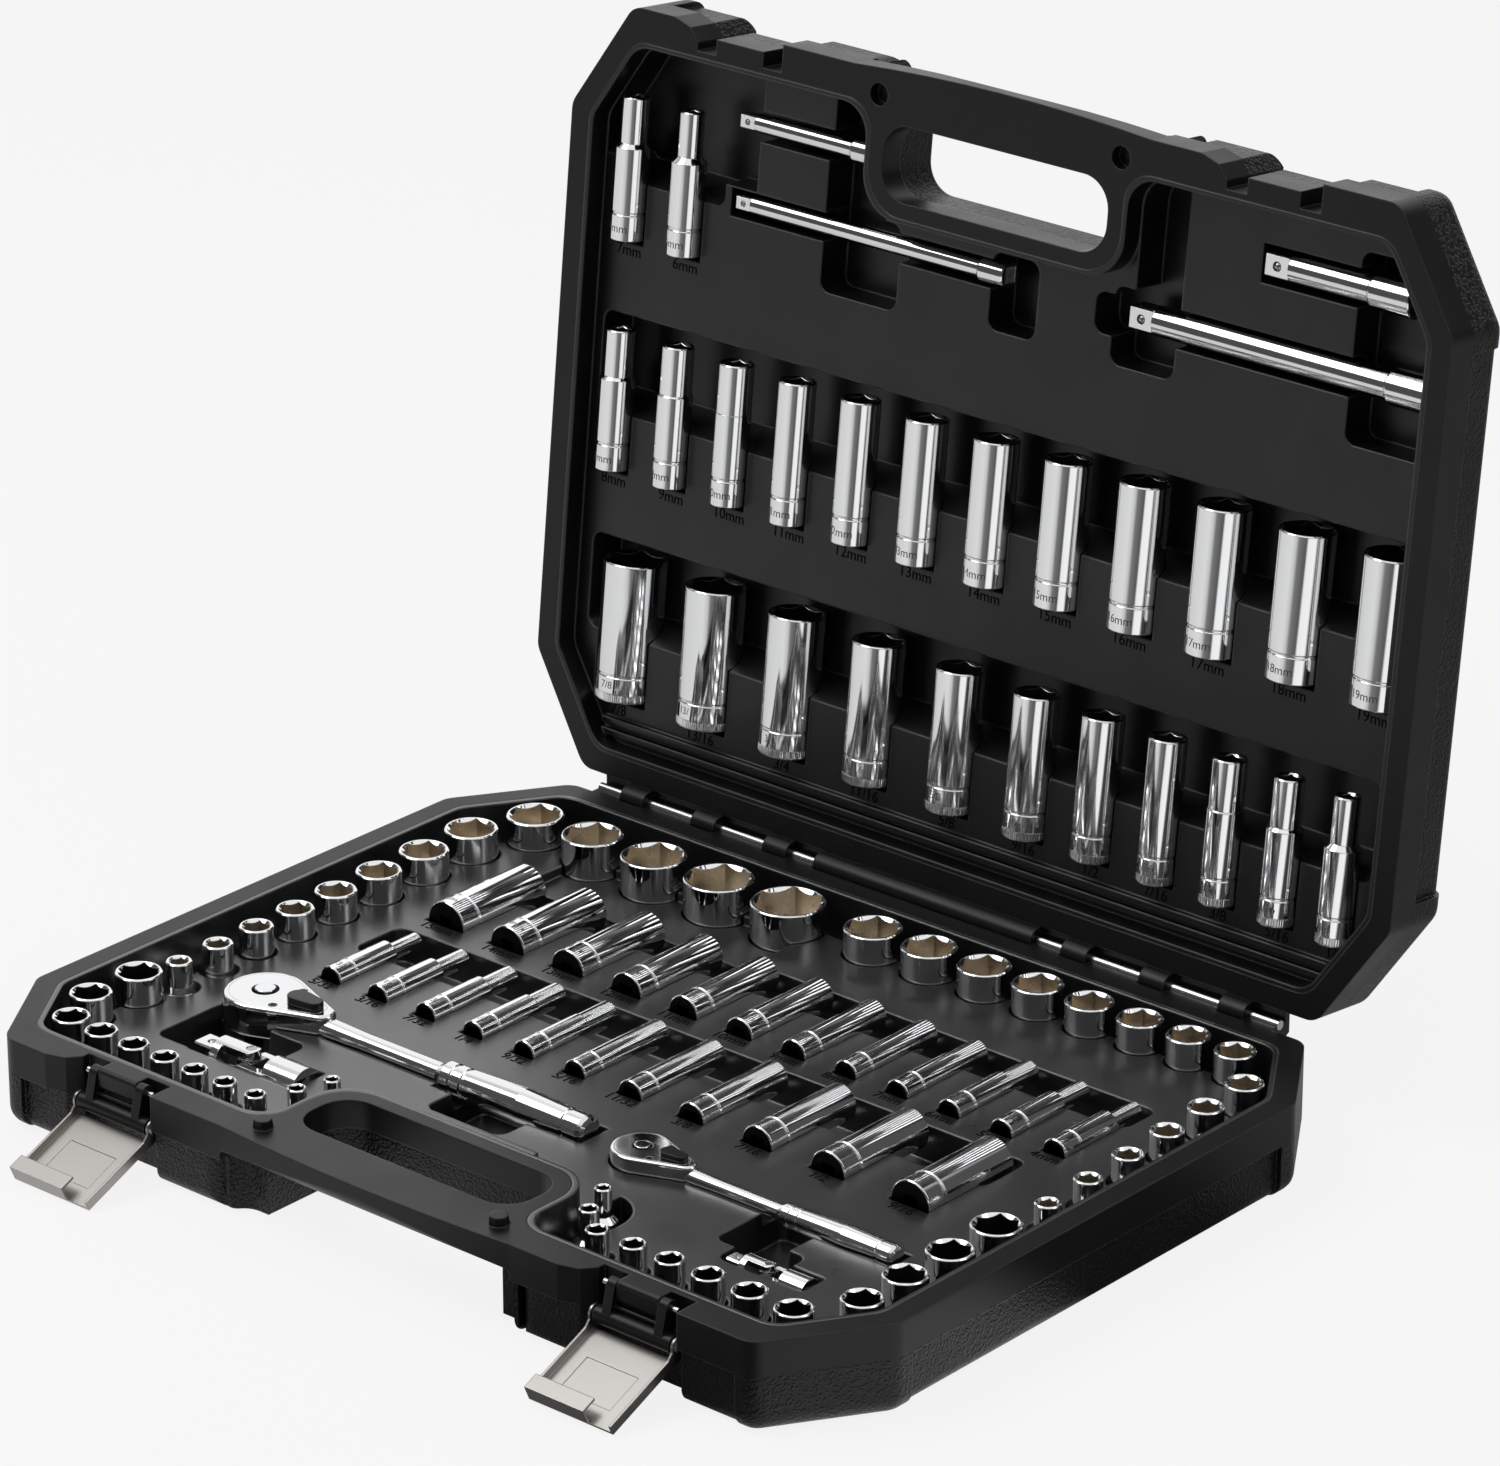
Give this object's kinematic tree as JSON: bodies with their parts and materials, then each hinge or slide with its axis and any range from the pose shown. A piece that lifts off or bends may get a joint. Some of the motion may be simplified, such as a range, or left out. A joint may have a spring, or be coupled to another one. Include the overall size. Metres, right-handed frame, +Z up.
{
  "type": "socket wrench set in case",
  "caption": "Open two-half moulded carrying case with draw latches, holding chrome sockets, ratchets, universal joints and extension bars in shaped trays.",
  "frame": {"origin": "centre of the underside of the base half of the case", "axes": "+X along the hinge to the right, +Y from the carrying handle to the hinge, +Z up"},
  "size_m": [0.445, 0.44, 0.373],
  "materials": {
    "case_black": "satin moulded, with a pebbled grain on the walls",
    "tray_black": "satin moulded, smooth",
    "link_black": "satin moulded",
    "latch_steel": "brushed sheet",
    "pin_steel": "drawn wire",
    "socket_chrome": "polished",
    "tool_chrome": "polished",
    "gear_steel": "turned and ground",
    "lever_black": "satin black"
  },
  "bodies": {
    "base": {"base_shell": "case_black", "base_tray": "tray_black", "hinge_pins": "pin_steel", "latch_pins": "pin_steel", "sockets_14_inch": "socket_chrome", "sockets_14_metric": "socket_chrome", "sockets_38_inch": "socket_chrome", "sockets_38_metric": "socket_chrome", "deep_14_inch": "socket_chrome", "deep_14_metric": "socket_chrome"},
    "lid": {"lid_shell": "case_black", "lid_tray": "tray_black", "deep_38_inch": "socket_chrome", "deep_38_metric": "socket_chrome", "deep_38_pair": "socket_chrome"},
    "latch_link_left": {"latch_link_left": "link_black"},
    "latch_plate_left": {"latch_plate_left": "latch_steel", "latch_rivet_left": "pin_steel"},
    "latch_link_right": {"latch_link_right": "link_black"},
    "latch_plate_right": {"latch_plate_right": "latch_steel", "latch_rivet_right": "pin_steel"},
    "ratchet_38": {"ratchet_38_body": "tool_chrome", "ratchet_38_cover": "tool_chrome", "ratchet_38_screws": "tool_chrome"},
    "ratchet_38_drive": {"ratchet_38_gear": "gear_steel", "ratchet_38_ball": "gear_steel"},
    "ratchet_38_button": {"ratchet_38_button": "tool_chrome"},
    "ratchet_38_lever": {"ratchet_38_lever": "lever_black"},
    "ratchet_38_pawl": {"ratchet_38_pawl": "gear_steel"},
    "ratchet_14": {"ratchet_14_body": "tool_chrome", "ratchet_14_cover": "tool_chrome", "ratchet_14_screws": "tool_chrome"},
    "ratchet_14_drive": {"ratchet_14_gear": "gear_steel", "ratchet_14_ball": "gear_steel"},
    "ratchet_14_button": {"ratchet_14_button": "tool_chrome"},
    "ratchet_14_lever": {"ratchet_14_lever": "lever_black"},
    "ratchet_14_pawl": {"ratchet_14_pawl": "gear_steel"},
    "joint_38_socket": {"joint_38_socket": "tool_chrome"},
    "joint_38_cross": {"joint_38_cross": "gear_steel"},
    "joint_38_drive": {"joint_38_drive": "tool_chrome", "joint_38_ball": "gear_steel"},
    "joint_14_socket": {"joint_14_socket": "tool_chrome"},
    "joint_14_cross": {"joint_14_cross": "gear_steel"},
    "joint_14_drive": {"joint_14_drive": "tool_chrome", "joint_14_ball": "gear_steel"},
    "bar_14_long": {"bar_14_long": "tool_chrome", "bar_14_long_ball": "gear_steel"},
    "bar_14_short": {"bar_14_short": "tool_chrome", "bar_14_short_ball": "gear_steel"},
    "bar_38_long": {"bar_38_long": "tool_chrome", "bar_38_long_ball": "gear_steel"},
    "bar_38_short": {"bar_38_short": "tool_chrome", "bar_38_short_ball": "gear_steel"}
  },
  "joints": [
    {"name": "lid_hinge", "type": "hinge", "parent": "base", "child": "lid", "pos_m": [0, 0.17, 0.038], "axis": [1, 0, 0], "range_deg": [0, 96.2]},
    {"name": "latch_link_left_swing", "type": "hinge", "parent": "base", "child": "latch_link_left", "pos_m": [-0.1345, -0.1575, 0.0345], "axis": [1, 0, 0], "range_deg": [-100, 18]},
    {"name": "latch_plate_left_swing", "type": "hinge", "parent": "latch_link_left", "child": "latch_plate_left", "pos_m": [-0.1345, -0.16052, 0.02237], "axis": [-1, 0, 0], "range_deg": [-45, 131.5]},
    {"name": "latch_link_right_swing", "type": "hinge", "parent": "base", "child": "latch_link_right", "pos_m": [0.1345, -0.1575, 0.0345], "axis": [1, 0, 0], "range_deg": [-100, 18]},
    {"name": "latch_plate_right_swing", "type": "hinge", "parent": "latch_link_right", "child": "latch_plate_right", "pos_m": [0.1345, -0.16052, 0.02237], "axis": [-1, 0, 0], "range_deg": [-45, 131.5]},
    {"name": "ratchet_38_lift", "type": "slide", "parent": "base", "child": "ratchet_38", "axis": [0, 0, -1], "range_m": [-0.06, 0]},
    {"name": "ratchet_38_drive_turn", "type": "hinge", "parent": "ratchet_38", "child": "ratchet_38_drive", "pos_m": [-0.153, -0.06, 0.027], "axis": [0, 0, 1], "continuous": true},
    {"name": "ratchet_38_button_push", "type": "slide", "parent": "ratchet_38_drive", "child": "ratchet_38_button", "axis": [0, 0, 1], "range_m": [-0.002, 0], "stiffness_N_per_m": 800},
    {"name": "ratchet_38_lever_turn", "type": "hinge", "parent": "ratchet_38", "child": "ratchet_38_lever", "pos_m": [-0.1345, -0.06, 0.027], "axis": [0, 0, 1], "range_deg": [-20, 20]},
    {"name": "ratchet_38_pawl_turn", "type": "hinge", "parent": "ratchet_38", "child": "ratchet_38_pawl", "pos_m": [-0.1345, -0.06, 0.027], "axis": [0, 0, 1], "range_deg": [-3.1, 3.1]},
    {"name": "ratchet_14_lift", "type": "slide", "parent": "base", "child": "ratchet_14", "axis": [0, 0, -1], "range_m": [-0.06, 0]},
    {"name": "ratchet_14_drive_turn", "type": "hinge", "parent": "ratchet_14", "child": "ratchet_14_drive", "pos_m": [0.05, -0.0628, 0.027], "axis": [0, 0, 1], "continuous": true},
    {"name": "ratchet_14_button_push", "type": "slide", "parent": "ratchet_14_drive", "child": "ratchet_14_button", "axis": [0, 0, 1], "range_m": [-0.00145, 0], "stiffness_N_per_m": 800},
    {"name": "ratchet_14_lever_turn", "type": "hinge", "parent": "ratchet_14", "child": "ratchet_14_lever", "pos_m": [0.06341, -0.0628, 0.027], "axis": [0, 0, 1], "range_deg": [-20, 20]},
    {"name": "ratchet_14_pawl_turn", "type": "hinge", "parent": "ratchet_14", "child": "ratchet_14_pawl", "pos_m": [0.06341, -0.0628, 0.027], "axis": [0, 0, 1], "range_deg": [-3.1, 3.1]},
    {"name": "joint_38_lift", "type": "slide", "parent": "base", "child": "joint_38_socket", "axis": [0, 0, -1], "range_m": [-0.06, 0]},
    {"name": "joint_38_cross_bend", "type": "hinge", "parent": "joint_38_socket", "child": "joint_38_cross", "pos_m": [-0.124, -0.097, 0.022], "axis": [0, -1, 0], "range_deg": [-40, 0]},
    {"name": "joint_38_drive_bend", "type": "hinge", "parent": "joint_38_cross", "child": "joint_38_drive", "pos_m": [-0.124, -0.097, 0.022], "axis": [0, 0, 1], "range_deg": [-30, 0]},
    {"name": "joint_14_lift", "type": "slide", "parent": "base", "child": "joint_14_socket", "axis": [0, 0, -1], "range_m": [-0.06, 0]},
    {"name": "joint_14_cross_bend", "type": "hinge", "parent": "joint_14_socket", "child": "joint_14_cross", "pos_m": [0.144, -0.098, 0.022], "axis": [0, -1, 0], "range_deg": [-40, 0]},
    {"name": "joint_14_drive_bend", "type": "hinge", "parent": "joint_14_cross", "child": "joint_14_drive", "pos_m": [0.144, -0.098, 0.022], "axis": [0, 0, 1], "range_deg": [-30, 0]},
    {"name": "bar_14_long_lift", "type": "slide", "parent": "lid", "child": "bar_14_long", "axis": [0, 0.9942, -0.108], "range_m": [-0.04, 0]},
    {"name": "bar_14_short_lift", "type": "slide", "parent": "lid", "child": "bar_14_short", "axis": [0, 0.9942, -0.108], "range_m": [-0.04, 0]},
    {"name": "bar_38_long_lift", "type": "slide", "parent": "lid", "child": "bar_38_long", "axis": [0, 0.9942, -0.108], "range_m": [-0.04, 0]},
    {"name": "bar_38_short_lift", "type": "slide", "parent": "lid", "child": "bar_38_short", "axis": [0, 0.9942, -0.108], "range_m": [-0.04, 0]}
  ],
  "couplings": [
    {"joint": "ratchet_38_pawl_turn", "follows": "ratchet_38_lever_turn", "ratio": 0.15},
    {"joint": "ratchet_14_pawl_turn", "follows": "ratchet_14_lever_turn", "ratio": 0.15}
  ]
}
